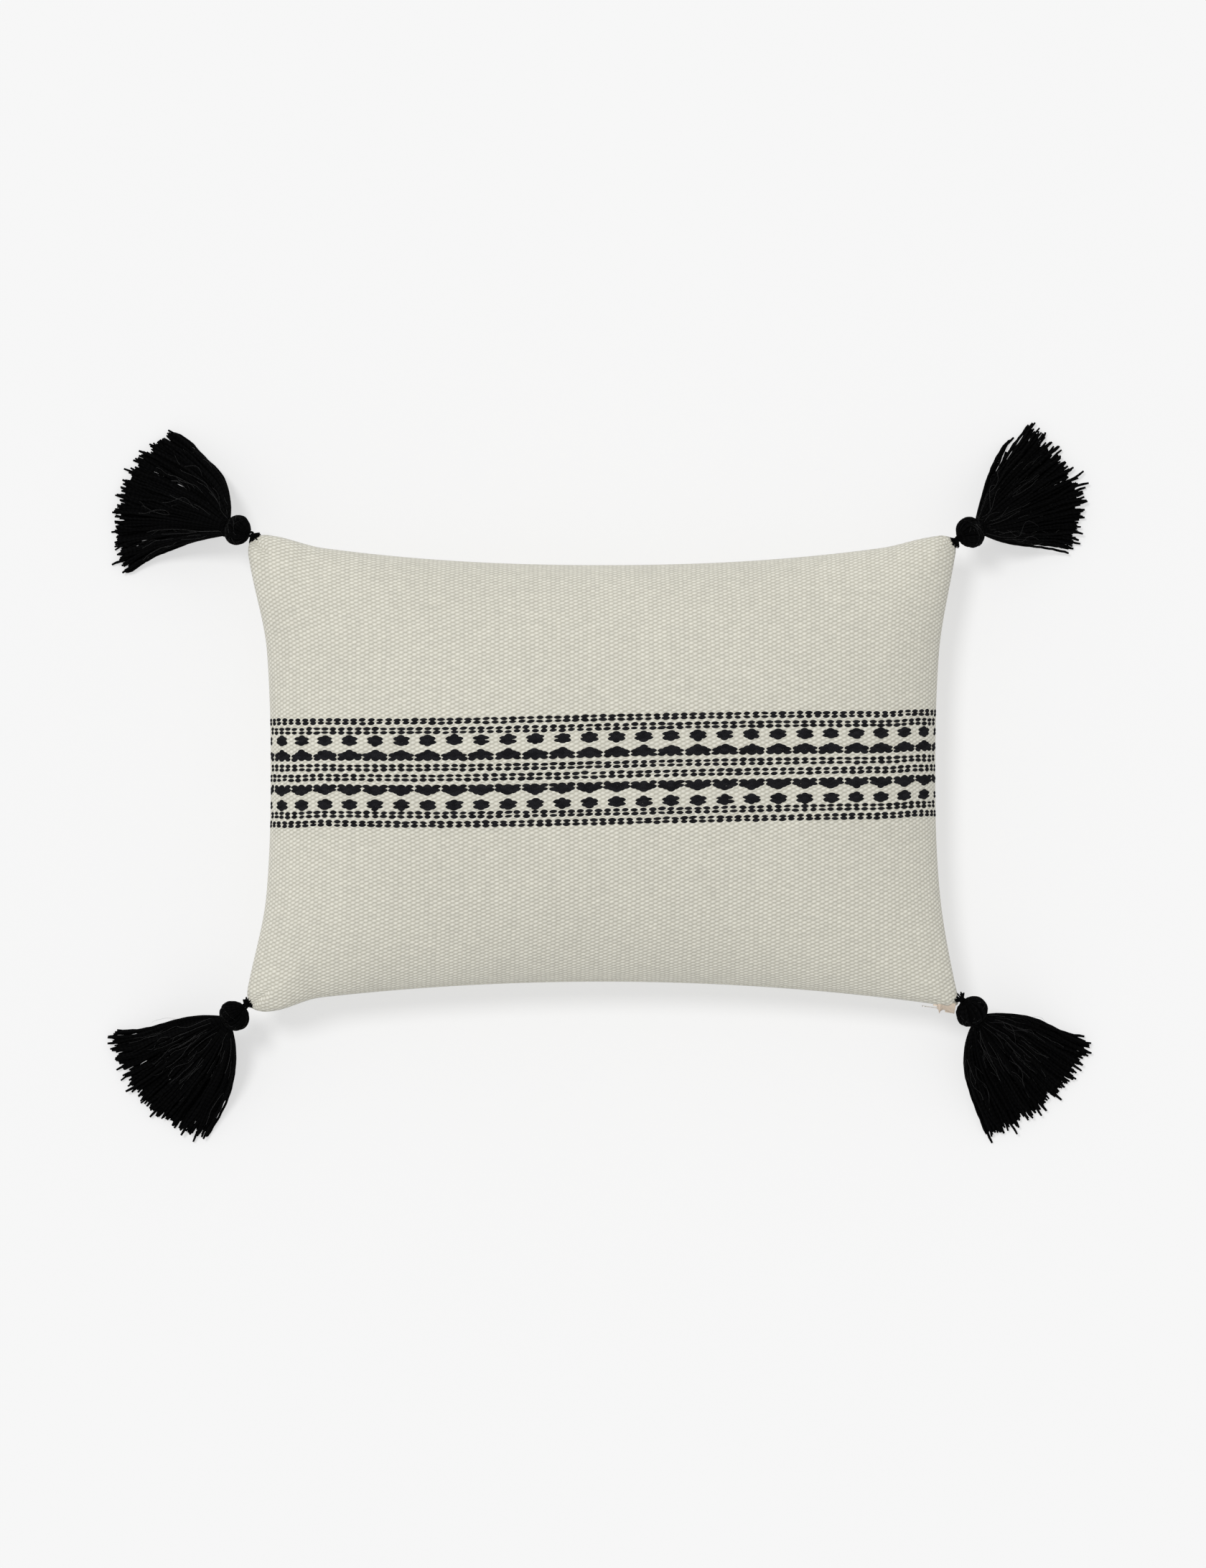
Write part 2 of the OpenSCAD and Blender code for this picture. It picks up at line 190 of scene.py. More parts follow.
# ======== materials
class Finish:
    """One material. Its methods add nodes and give back their outputs."""

    def __init__(self, name, roughness, specular=0.5, sheen=0.0):
        self.material = bpy.data.materials.new(name)
        self.material.use_nodes = True
        self.tree = self.material.node_tree
        self.shader = self.tree.nodes["Principled BSDF"]
        for key, value in (("Roughness", roughness), ("Specular IOR Level", specular),
                ("Sheen Weight", sheen), ("Sheen Roughness", 0.6)):
            self.shader.inputs[key].default_value = value

    def node(self, kind, **settings):
        made = self.tree.nodes.new("ShaderNode" + kind)
        for key, value in settings.items():
            setattr(made, key, value)
        return made

    def put(self, socket, value):
        """Link an output to the socket, or set it to a number or a colour."""
        if isinstance(value, bpy.types.NodeSocket):
            self.tree.links.new(value, socket)
        else:
            socket.default_value = (*value, 1) if isinstance(value, tuple) else value

    def fed(self, kind, values, **settings):
        """The first output of a new node, whose first inputs get these values."""
        made = self.node(kind, **settings)
        for socket, value in zip(made.inputs, values):
            self.put(socket, value)
        return made.outputs[0]

    def math(self, operation, *values):
        return self.fed("Math", values, operation=operation)

    def times(self, a, b):
        return self.math("MULTIPLY", a, b)

    def uv(self, name):
        """The two parts of a UV map, as numbers."""
        split = self.node("SeparateXYZ")
        self.put(split.inputs[0], self.node("UVMap", uv_map=name).outputs[0])
        return split.outputs[0], split.outputs[1]

    def vector(self, x, y, z=0.0):
        return self.fed("CombineXYZ", (x, y, z))

    def object_point(self):
        return self.node("TexCoord").outputs["Object"]

    def noise(self, vector, scale, detail=2.0, roughness=0.5):
        made = self.node("TexNoise")
        values = {"Vector": vector, "Scale": scale, "Detail": detail, "Roughness": roughness}
        for key, value in values.items():
            self.put(made.inputs[key], value)
        return made.outputs["Fac"]

    def white_noise(self, vector):
        return self.fed("TexWhiteNoise", (vector,), noise_dimensions="2D")

    def remap(self, value, low, high, to_low=0.0, to_high=1.0):
        return self.fed("MapRange", (value, low, high, to_low, to_high))

    def mix(self, share, a, b, **settings):
        made = self.node("Mix", data_type="RGBA", **settings)
        for socket, value in zip((made.inputs["Factor"], *made.inputs[6:8]), (share, a, b)):
            self.put(socket, value)
        return made.outputs[2]

    def scaled(self, colour, amount):
        """The colour times a number."""
        return self.mix(1.0, colour, amount, blend_type="MULTIPLY")

    def colour(self, value):
        self.put(self.shader.inputs["Base Color"], value)

    def rough(self, value):
        self.put(self.shader.inputs["Roughness"], value)

    def bump(self, height, distance):
        made = self.node("Bump")
        self.put(made.inputs["Height"], height)
        made.inputs["Distance"].default_value = distance
        self.put(self.shader.inputs["Normal"], made.outputs[0])


def woven_finish(name, pitch, colour, pit_shade_colour, relief):
    """Plump floats of soft yarn in staggered columns, leaning a little to the right, and small pits with
    painted shade in them.
    """
    f = Finish(name, 0.92, 0.12, 0.2)
    raw_s, raw_t = f.uv("weave")
    wander = f.noise(f.vector(raw_s, raw_t), 60.0, 2.0)
    s = f.math("MULTIPLY_ADD", f.math("SUBTRACT", wander, 0.5), 0.0020, raw_s)
    t = f.math("MULTIPLY_ADD", f.math("SUBTRACT", wander, 0.5), 0.0024, raw_t)
    column = f.math("DIVIDE", s, pitch[0])
    row = f.math("DIVIDE", t, pitch[1])
    column_id = f.math("FLOOR", f.math("ADD", column, 0.5))
    odd = f.math("MODULO", f.math("ABSOLUTE", column_id), 2.0)
    row_id = f.math("FLOOR", f.math("ADD", f.math("MULTIPLY_ADD", odd, 0.5, row), 0.5))
    half_column = f.times(column, 0.5)
    rising = f.math("COSINE", f.times(f.math("SUBTRACT", half_column, row), 2 * math.pi))
    falling = f.math("COSINE", f.times(f.math("ADD", half_column, row), 2 * math.pi))
    upright = f.math("COSINE", f.times(column, 2 * math.pi))
    # The floats lean to the right because the rising wave is the stronger one
    waves = f.math("MULTIPLY_ADD", falling, 0.32, f.times(rising, 0.44))
    waves = f.math("MULTIPLY_ADD", upright, 0.24, waves)
    plump = f.math("POWER", f.remap(waves, -0.62, 1.0), 0.55)
    # Each float's own tone and height, and the slubs and thin places of the hand-spun yarn
    tone = f.white_noise(f.vector(column_id, row_id))
    slub = f.noise(f.vector(f.times(s, 60.0), f.times(t, 280.0)), 1.0, 2.0)
    warp = f.noise(f.vector(f.times(s, 270.0), f.times(t, 14.0)), 1.0, 1.0)
    fibre_t = f.math("MULTIPLY_ADD", s, -900.0, f.times(t, 3600.0))
    fibre = f.noise(f.vector(f.times(s, 1400.0), fibre_t), 1.0, 2.0)
    cloud = f.noise(f.vector(raw_s, raw_t), 9.0, 3.0)
    light = f.remap(tone, 0.0, 1.0, 0.94, 1.04)
    for unevenness, share in ((slub, 0.03), (warp, 0.02), (cloud, 0.02), (fibre, 0.03)):
        light = f.math("ADD", light, f.remap(unevenness, 0.3, 0.7, -share, share))
    # The turned edge is pulled smooth, and so is the hem beside the zip; both also get painted shade, a
    # little darker colour where the cloth rolls away
    from_edge = f.node("Attribute", attribute_name="from_edge").outputs["Fac"]
    from_zip = f.node("Attribute", attribute_name="from_zip").outputs["Fac"]
    at_edge = f.remap(from_edge, 0.0005, 0.0028, 0.35, 1.0)
    smoothing_and_shade = f.times(at_edge, f.remap(from_zip, 0.004, 0.009, 0.6, 1.0))
    # Painted shade: the colour is a little darker at the turned edge and at the hem beside the zip
    light = f.times(light, f.remap(smoothing_and_shade, 0.3, 1.0, 0.90, 1.0))
    # Painted shade: the colour runs to the pit shade colour where the floats sink into the pits between them
    depth = f.remap(plump, 0.25, 0.85)
    f.colour(f.scaled(f.mix(depth, pit_shade_colour, colour), light))
    height = f.times(plump, f.remap(tone, 0.0, 1.0, 0.85, 1.15))
    height = f.math("ADD", height, f.times(fibre, 0.10))
    f.bump(f.times(height, smoothing_and_shade), relief)
    return f.material


def plain_weave(name, pitch, colour, relief, roughness=0.9):
    """A fine even weave, for the insert's case."""
    f = Finish(name, roughness, 0.15, 0.2)
    s, t = f.uv("weave")
    across = f.math("SINE", f.times(s, 2 * math.pi / pitch))
    up = f.math("SINE", f.times(t, 2 * math.pi / pitch))
    weave = f.times(across, up)
    cloud = f.noise(f.vector(s, t), 30.0, 4.0)
    # Painted shade: the colour is darker where the weave sinks between its threads
    light = f.math("ADD", f.remap(weave, -1.0, 1.0, 0.9, 1.0), f.remap(cloud, 0.2, 0.8, -0.04, 0.04))
    f.colour(f.scaled(colour, light))
    f.bump(weave, relief)
    return f.material


def yarn_finish(name, dark, light, ply, relief, roughness=0.85, sheen=0.1, specular=0.25):
    """Plied yarn: grooves that wind round it with painted shade in them, uneven dye, and fibres with painted
    highlights.
    """
    f = Finish(name, roughness, specular, sheen)
    along, around = f.uv("yarn")
    wind = f.math("MULTIPLY_ADD", around, 2.0, f.math("DIVIDE", along, ply))
    groove_and_shade = f.math("ABSOLUTE", f.math("SINE", f.times(wind, math.pi)))
    hair_point = f.vector(f.times(along, 900.0), f.times(around, 26.0))
    hairs_and_highlights = f.noise(hair_point, 1.0, 3.0, 0.7)
    blotch = f.noise(f.object_point(), 160.0, 2.0)
    strand = f.node("Attribute", attribute_name="strand").outputs["Fac"]
    # The light tone is mixed in as painted highlight on the fibres and as uneven dye
    share = f.math("MULTIPLY_ADD", f.remap(hairs_and_highlights, 0.52, 0.75), 0.5, f.times(strand, 0.25))
    share = f.math("ADD", share, f.times(blotch, 0.2))
    # Painted shade: the light tone fades in the grooves
    share = f.times(share, f.remap(groove_and_shade, 0.0, 0.8, 0.3, 1.0))
    f.colour(f.mix(share, dark, light))
    f.bump(f.math("MULTIPLY_ADD", hairs_and_highlights, 0.3, groove_and_shade), relief)
    return f.material


def tape_finish(name, colour):
    """Woven polyester tape: a fine herringbone."""
    f = Finish(name, 0.75, 0.3, 0.1)
    point = f.node("SeparateXYZ")
    f.put(point.inputs[0], f.object_point())
    run, height = point.outputs[0], point.outputs[2]
    zigzag = f.math("PINGPONG", height, 0.0011)
    rib = f.math("SINE", f.times(f.math("ADD", run, zigzag), 2 * math.pi / 0.0007))
    cloud = f.noise(f.object_point(), 220.0, 3.0)
    # Painted shade: the colour is darker in the grooves between the ribs
    light = f.math("ADD", f.remap(rib, -1.0, 1.0, 0.84, 1.02), f.remap(cloud, 0.2, 0.8, -0.06, 0.06))
    f.colour(f.scaled(colour, light))
    f.bump(rib, 0.00012)
    return f.material


def nylon_finish(name, colour):
    """Drawn nylon wire, slightly cloudy and worn smooth."""
    f = Finish(name, 0.38, 0.5)
    cloud = f.noise(f.object_point(), 300.0, 3.0)
    f.colour(f.scaled(colour, f.remap(cloud, 0.2, 0.8, 0.88, 1.06)))
    f.rough(f.remap(cloud, 0.2, 0.8, 0.3, 0.5))
    f.bump(cloud, 0.00003)
    return f.material


def paint_finish(name, colour, chipped):
    """Sprayed paint on cast metal, rubbed through in small specks."""
    f = Finish(name, 0.42, 0.5)
    wear = f.remap(f.noise(f.object_point(), 1400.0, 4.0, 0.7), 0.66, 0.72)
    orange_peel = f.noise(f.object_point(), 2600.0, 2.0)
    f.colour(f.mix(wear, colour, chipped))
    f.rough(f.remap(orange_peel, 0.3, 0.7, 0.34, 0.5))
    f.bump(f.math("SUBTRACT", orange_peel, wear), 0.00004)
    return f.material


def metal_finish(name, colour):
    """Nickel plating with fine brushing."""
    f = Finish(name, 0.3, 0.5)
    f.shader.inputs["Metallic"].default_value = 1.0
    brush = f.noise(f.vector(f.noise(f.object_point(), 4000.0), f.noise(f.object_point(), 500.0)), 6.0, 3.0)
    f.colour(f.scaled(colour, f.remap(brush, 0.2, 0.8, 0.8, 1.05)))
    f.rough(f.remap(brush, 0.2, 0.8, 0.22, 0.42))
    f.bump(brush, 0.00002)
    return f.material


def fibre_finish(name):
    """Loose polyester fibre, matted into soft tufts."""
    f = Finish(name, 0.8, 0.3, 0.3)
    tuft = f.noise(f.object_point(), 90.0, 6.0, 0.7)
    # Painted shade: the colour is darker in the hollows between the tufts
    f.colour(f.scaled((0.86, 0.86, 0.86), f.remap(tuft, 0.2, 0.8, 0.82, 1.05)))
    f.bump(tuft, 0.002)
    return f.material


CREAM = (0.785, 0.768, 0.675)
# The painted shade in the weave's pits
PIT_SHADE = (0.52, 0.50, 0.42)
BEIGE = (0.74, 0.62, 0.50)
NICKEL = (0.66, 0.63, 0.58)
woven_cotton = woven_finish("woven_cotton", WEAVE_PITCH, CREAM, PIT_SHADE, 0.0007)
insert_cotton = plain_weave("insert_cotton", 0.0008, (0.8, 0.79, 0.76), 0.00015)
fibre = fibre_finish("fibre")
# Of each yarn: its dark and its light tone (the light tone is partly uneven dye, partly painted highlight on
# the fibres), the length of a ply, the relief, roughness, sheen and gloss
band_black = yarn_finish("woven_pattern", (0.0055, 0.0055, 0.0065), (0.04, 0.04, 0.045),
    0.0016, 0.00025, 0.95, 0.0, 0.04)
tassel_black = yarn_finish("black_yarn", (0.0004, 0.0004, 0.0005), (0.006, 0.006, 0.0063),
    0.0042, 0.0005, 0.9, 0.0, 0.035)
# Painted highlight: the black yarn's loose fibres, coloured grey where they catch light
fuzz_highlight_grey = yarn_finish("black_yarn_fuzz_highlight", (0.02, 0.02, 0.02), (0.11, 0.11, 0.11), 0.004, 0.00002, 0.7, 0.1)
cream_thread = yarn_finish("cream_thread", (0.62, 0.60, 0.52), (0.82, 0.80, 0.72), 0.0012, 0.00015, 0.85, 0.2)
tape_beige = tape_finish("zip_tape", BEIGE)
coil_beige = nylon_finish("zip_coil", (0.70, 0.60, 0.48))
slider_paint = paint_finish("zip_paint", (0.76, 0.66, 0.55), (0.4, 0.37, 0.33))
pull_metal = metal_finish("zip_metal", NICKEL)


# ======== the cover
def by_corner(u, v, which):
    """For each point, one of the numbers of the corner that is nearest to it."""
    left = np.where(v > 0, EARS[-1, 1][which], EARS[-1, -1][which])
    right = np.where(v > 0, EARS[1, 1][which], EARS[1, -1][which])
    return np.where(u > 0, right, left)


def smooth_rise(x):
    x = np.clip(x, 0, 1)
    return x * x * (3 - 2 * x)


def seam_half_x(u, v):
    ear = by_corner(u, v, 0) * smooth_rise((np.abs(v) - EAR_START[0]) / EAR_RUN[0])
    return WAIST_X + np.where(v > 0, FAR_EAR_X, ZIP_EAR_X) * np.abs(v) ** SIDE_POWER + ear


def seam_half_y(u, v):
    far = FAR_WAIST_Y + FAR_EAR_Y * np.abs(u) ** FAR_POWER
    near = -ZIP_CENTRE_Y - np.sqrt(ZIP_RADIUS**2 - (u * ZIP_HALF_X) ** 2)
    ear = by_corner(u, v, 1) * smooth_rise((np.abs(u) - EAR_START[1]) / EAR_RUN[1])
    return np.where(v > 0, far, near) + ear


def lip(u, v):
    """How far the cover's edge is lifted off the seam, over the zip."""
    open_share = np.clip(1 - (np.abs(u) - LIP_END_U) / LIP_CLOSING, 0, 1)
    return np.where(v > 0, 0, LIP_RISE * open_share * np.maximum(0, 1 - (1 + v) / LIP_DEPTH))


def surface(u, v, up, inset=0.0, drop=0.0):
    """Points of the stuffed shape before anything flattens it. up is 1 for the front and -1 for the back."""
    crown = np.sqrt(np.clip((1 - u * u) * (1 - v * v), 0, 1))
    rise = (FRONT_CROWN if up > 0 else BACK_CROWN) - drop
    return np.stack([
        u * (seam_half_x(u, v) - inset),
        v * (seam_half_y(u, v) - inset),
        SEAM_Z + up * (ROLL + lip(u, v) + rise * crown)], -1)


def even_net(up):
    """(u, v) of a net whose rows and columns have even steps along the stuffed surface, as its threads do."""
    u, v = np.meshgrid(np.linspace(-1, 1, NET[0]), np.linspace(-1, 1, NET[1]))
    fine = eased(801)

    def spread(a, b, place):
        for k in range(len(a)):
            fine_b = np.interp(fine, a[k], b[k])
            length = lengths_along(place(fine, fine_b))
            a[k] = np.interp(np.linspace(0, length[-1], a.shape[1]), length, fine)
            b[k] = np.interp(a[k], fine, fine_b)

    for _ in range(5):
        spread(u, v, lambda a, b: surface(a, b, up))
        columns_v, columns_u = v.T.copy(), u.T.copy()
        spread(columns_v, columns_u, lambda a, b: surface(b, a, up))
        u, v = columns_u.T.copy(), columns_v.T.copy()
    return u, v


def cloth_grid(shape):
    """Cloth coordinates of a grid, in metres from the middle of the cut panel."""
    rows, columns = shape
    return np.meshgrid(np.linspace(-0.5, 0.5, columns) * CUT[0], np.linspace(-0.5, 0.5, rows) * CUT[1])


def grid_faces(rows, columns):
    index = np.arange(rows * columns).reshape(rows, columns)
    return np.stack([index[:-1, :-1], index[:-1, 1:], index[1:, 1:], index[1:, :-1]], -1).reshape(-1, 4)


def rim_of(rows, columns):
    """Grid numbers once round the edge, in order."""
    index = np.arange(rows * columns).reshape(rows, columns)
    return np.concatenate([index[0, :-1], index[:-1, -1], index[-1, :0:-1], index[:0:-1, 0]])


def rounded(grid, u, v):
    """The panel with each corner drawn in to a quarter circle."""
    radius = by_corner(u, v, 2)
    reach_x = np.clip(radius - (1 - np.abs(u)) * seam_half_x(u, v), 0, None)
    reach_y = np.clip(radius - (1 - np.abs(v)) * seam_half_y(u, v), 0, None)
    share = np.maximum(reach_x, reach_y) / np.maximum(np.hypot(reach_x, reach_y), 1e-9)
    corner = (reach_x > 0) & (reach_y > 0)
    grid[..., 0] -= np.where(corner, np.sign(u) * reach_x * (1 - share), 0)
    grid[..., 1] -= np.where(corner, np.sign(v) * reach_y * (1 - share), 0)
    return grid


def stuffed(up, u, v):
    """A flat cut panel, sewn along the seam and pushed out by its filling: Blender's cloth, read back."""
    start = surface(u, v, up)
    rows, columns = u.shape
    s, t = cloth_grid(u.shape)
    faces = grid_faces(rows, columns)
    if up < 0:
        faces = faces[:, ::-1]
    local = start - (0, 0, SEAM_Z)
    mesh = mesh_of("panel_net", local.reshape(-1, 3), faces.tolist())
    net = linked("panel_net", mesh)
    net.shape_key_add(name="Basis")
    cut = net.shape_key_add(name="cut")
    cut.data.foreach_set("co", np.stack([s, t, 0 * s], -1).astype(np.float32).ravel())
    sewn = net.vertex_groups.new(name="sewn")
    sewn.add([int(k) for k in rim_of(rows, columns)], 1.0, "REPLACE")
    modifier = net.modifiers.new("stuffing", "CLOTH")
    cloth = modifier.settings
    cloth.vertex_group_mass = "sewn"
    cloth.rest_shape_key = cut
    cloth.quality = 5
    cloth.mass = 0.05
    cloth.tension_stiffness = 15
    cloth.compression_stiffness = 15
    cloth.shear_stiffness = 3
    cloth.bending_stiffness = 1
    cloth.use_pressure = True
    cloth.uniform_pressure_force = 5
    cloth.effector_weights.gravity = 0
    modifier.collision_settings.use_collision = False
    modifier.point_cache.frame_start = 1
    modifier.point_cache.frame_end = SIM_FRAMES
    scene = bpy.context.scene
    for number in range(1, SIM_FRAMES + 1):
        scene.frame_set(number)
    result = net.evaluated_get(bpy.context.evaluated_depsgraph_get()).data
    found = np.zeros(len(result.vertices) * 3, np.float32)
    result.vertices.foreach_get("co", found)
    bpy.data.objects.remove(net)
    bpy.data.meshes.remove(mesh)
    scene.frame_set(1)
    move = found.reshape(start.shape) - local
    far = np.linalg.norm(move, axis=-1, keepdims=True)
    return start + move * np.minimum(1, SIM_CAP / np.maximum(far, 1e-9))


def refined(grid):
    """The same surface with a point more between every two, on a smooth curve through the old ones."""
    for axis in (0, 1):
        g = np.moveaxis(grid, axis, 0)
        ends = np.concatenate([2 * g[:1] - g[1:2], g, 2 * g[-1:] - g[-2:-1]])
        between = (9 * (ends[1:-2] + ends[2:-1]) - ends[:-3] - ends[3:]) / 16
        made = np.empty((2 * len(g) - 1, *g.shape[1:]))
        made[0::2], made[1::2] = g, between
        grid = np.moveaxis(made, 0, axis)
    return grid


def outward(grid, up):
    across, along = np.gradient(grid, axis=1), np.gradient(grid, axis=0)
    return unit(np.cross(across, along)) * up


def skew(s):
    """How far the weave, cut a little off the grain, has risen at s."""
    bow = BAND_BOW * s * s
    return BAND_SLOPE * s + bow + BAND_WAVE * np.sin(math.pi * s / WAIST_X)


def panel(name, outer, up, thickness, material):
    """A cloth panel as a closed shell: its outer skin, an inner one, and an edge rolled between them."""
    rows, columns = outer.shape[:2]
    inner = outer - outward(outer, up) * thickness
    rim = rim_of(rows, columns)
    flat_outer, flat_inner = outer.reshape(-1, 3), inner.reshape(-1, 3)
    middle = (flat_outer[rim] + flat_inner[rim]) / 2
    reach = (flat_outer[rim] - flat_inner[rim]) / 2
    down = np.zeros_like(middle)
    down[:, 2] = -up * thickness / 2
    rings = [middle + reach * math.cos(a) + down * math.sin(a) for a in np.linspace(0, math.pi, 5)[1:-1]]
    points = np.concatenate([flat_outer, flat_inner, *rings])
    count = rows * columns
    faces = grid_faces(rows, columns)
    ring_ids = [rim] + [2 * count + k * len(rim) + np.arange(len(rim)) for k in range(3)] + [rim + count]
    rolls = [np.stack([a, b, np.roll(b, -1), np.roll(a, -1)], -1) for a, b in zip(ring_ids, ring_ids[1:])]
    every = np.concatenate([faces, faces[:, ::-1] + count, *rolls])
    if up < 0:
        every = every[:, ::-1]
    s, t = cloth_grid((rows, columns))
    cloth = np.stack([s, t - skew(s)], -1).reshape(-1, 2)
    uv = np.concatenate([cloth, cloth, *[cloth[rim]] * 3])[every]
    mesh = mesh_of(name, points, every.tolist(), "weave", uv.reshape(-1, 2))
    # How far each point is from the panel's sewn edges, and from the edge beside the zip
    from_edge = np.minimum(CUT[0] / 2 - np.abs(s), CUT[1] / 2 - np.abs(t)).ravel()
    from_zip = (t + CUT[1] / 2).ravel()
    for key, value in (("from_edge", from_edge), ("from_zip", from_zip)):
        put_on_points(mesh, key, np.concatenate([value, value, *[value[rim]] * 3]))
    return new_object(name, mesh, material)


def cover_skin(up):
    """The outer skin of a panel: sewn, stuffed, rounded at its corners, and flat where it rests."""
    u, v = even_net(up)
    skin = refined(stuffed(up, u, v))
    u, v = np.moveaxis(refined(np.stack([u, v], -1)), -1, 0)
    skin = rounded(skin, np.clip(u, -1, 1), np.clip(v, -1, 1))
    if up < 0:
        height = skin[..., 2]
        skin[..., 2] = (height + np.sqrt(height**2 + REST_SOFTNESS**2)) / 2
    return skin


front_skin = cover_skin(1)
back_skin = cover_skin(-1)
cover_front = panel("cover_front_cloth", front_skin, 1, CLOTH_T, woven_cotton)
cover_back = panel("cover_back_cloth", back_skin, -1, CLOTH_T, woven_cotton)
hand_over(cover_front, "pillow", "woven_cotton", "cover_front")
hand_over(cover_back, "pillow", "woven_cotton", "cover_back")


# ======== the insert
INNER_NET = (61, 41)
CASE_INSET = 0.008
CASE_DROP = 0.005
CASE_T = 0.0008
CASE_LUMPS = 0.0004
FILL_INSET = 0.013
FILL_DROP = 0.009
FILL_LUMPS = 0.0012


def inner_layer(up, inset, drop, lumps, seed):
    """A layer inside the cover, with soft lumps."""
    u, v = np.meshgrid(eased(INNER_NET[0]), eased(INNER_NET[1]))
    grid = surface(u, v, up, inset, drop)
    chance = np.random.default_rng(seed)
    for _ in range(60):
        place = chance.uniform(-0.8, 0.8, 2)
        size = chance.uniform(0.12, 0.3)
        grid[..., 2] -= up * lumps * np.exp(-((u - place[0]) ** 2 + (v - place[1]) ** 2) / size**2)
    grid[..., 2] = np.maximum(grid[..., 2], drop) if up < 0 else grid[..., 2]
    return rounded(grid, u, v)


for side, up in (("front", 1), ("back", -1)):
    layer = inner_layer(up, CASE_INSET, CASE_DROP, CASE_LUMPS, 3 + up)
    case = panel(f"insert_case_{side}_cloth", layer, up, CASE_T, insert_cotton)
    hand_over(case, "pillow", "insert_cotton", f"insert_case_{side}")


def slab(name, top, under, material, outside=1):
    """A closed solid between two grids. outside is -1 where the grid runs the other way round."""
    rows, columns = top.shape[:2]
    rim = rim_of(rows, columns)
    count = rows * columns
    faces = grid_faces(rows, columns)
    wall = np.stack([rim, rim + count, np.roll(rim, -1) + count, np.roll(rim, -1)], -1)
    every = np.concatenate([faces, faces[:, ::-1] + count, wall])[:, ::outside]
    points = np.concatenate([top.reshape(-1, 3), under.reshape(-1, 3)])
    return new_object(name, mesh_of(name, points, every.tolist()), material)


def filling():
    """The loose fibre, one closed lumpy mass."""
    top = inner_layer(1, FILL_INSET, FILL_DROP, FILL_LUMPS, 11)
    bottom = inner_layer(-1, FILL_INSET, FILL_DROP, FILL_LUMPS, 12)
    return slab("fibre_fill_mass", top, bottom, fibre)


fill = hand_over(filling(), "pillow", "fibre", "fibre_fill")


# ======== the black band
def on_front(s, t):
    """Point and normal of the front cloth at cloth coordinates."""
    rows, columns = front_skin.shape[:2]
    i = np.clip((s / CUT[0] + 0.5) * (columns - 1), 0, columns - 1.001)
    j = np.clip((t / CUT[1] + 0.5) * (rows - 1), 0, rows - 1.001)
    i0, j0 = i.astype(int), j.astype(int)
    a, b = (i - i0)[..., None], (j - j0)[..., None]

    def blend(grid):
        low = grid[j0, i0] * (1 - a) + grid[j0, i0 + 1] * a
        high = grid[j0 + 1, i0] * (1 - a) + grid[j0 + 1, i0 + 1] * a
        return low * (1 - b) + high * b

    return blend(front_skin), unit(blend(front_normals))


front_normals = outward(front_skin, 1)
DOT = (0.0034, 0.00165)  # half length and half height of a single float
BIG = (0.0038, 0.0019)  # the same of a motif's floats
FLOAT_RISE = 0.00085
FLOAT_SUNK = 0.0002
DOTS_TO_MOTIF = 3
# Rows of single dots: woven rows from the band's middle, and each outer row's shift, in dots. The inner rows
# are shifted below the middle only. The motifs' floats are (dots along, rows up).
OUTER_DOT_ROWS = ((29.8, 0.5), (27.9, 0.5), (24.7, 0), (22.6, 0))
INNER_DOT_ROWS = (3.9, 1.7)
DIAMOND_ROW = 18.1
DIAMOND = ((0, 2), (0, 0), (0, -2), (0.5, 1), (-0.5, 1), (0.5, -1), (-0.5, -1))
ARROW_ROW = 7.8
ARROW = ((-1, 0), (0, 0), (1, 0), (-0.5, 1), (0.5, 1), (-1, 2), (0, 2), (1, 2), (-0.5, 3), (0.5, 3), (0, 4))


def band_floats():
    """(dots along, rows up, half length, half height) of every float of black yarn."""
    dots = int(CUT[0] / DOT_PITCH / 2) + 2
    motifs = dots // DOTS_TO_MOTIF + 1
    found = []
    for side, inner_shift in ((1, 0), (-1, 0.5)):
        for row, shift in (*OUTER_DOT_ROWS, *((row, inner_shift) for row in INNER_DOT_ROWS)):
            found += [(k + shift, side * row, *DOT) for k in range(-dots, dots)]
        for k in range(-motifs, motifs + 1):
            middle = DOTS_TO_MOTIF * k
            found += [(middle + x, side * (DIAMOND_ROW + y), *BIG) for x, y in DIAMOND]
            found += [(middle + x, side * (ARROW_ROW + y), *BIG) for x, y in ARROW]
    # The panel's middle lies halfway between two motifs
    return np.array(found) + (DOTS_TO_MOTIF / 2, 0, 0, 0)


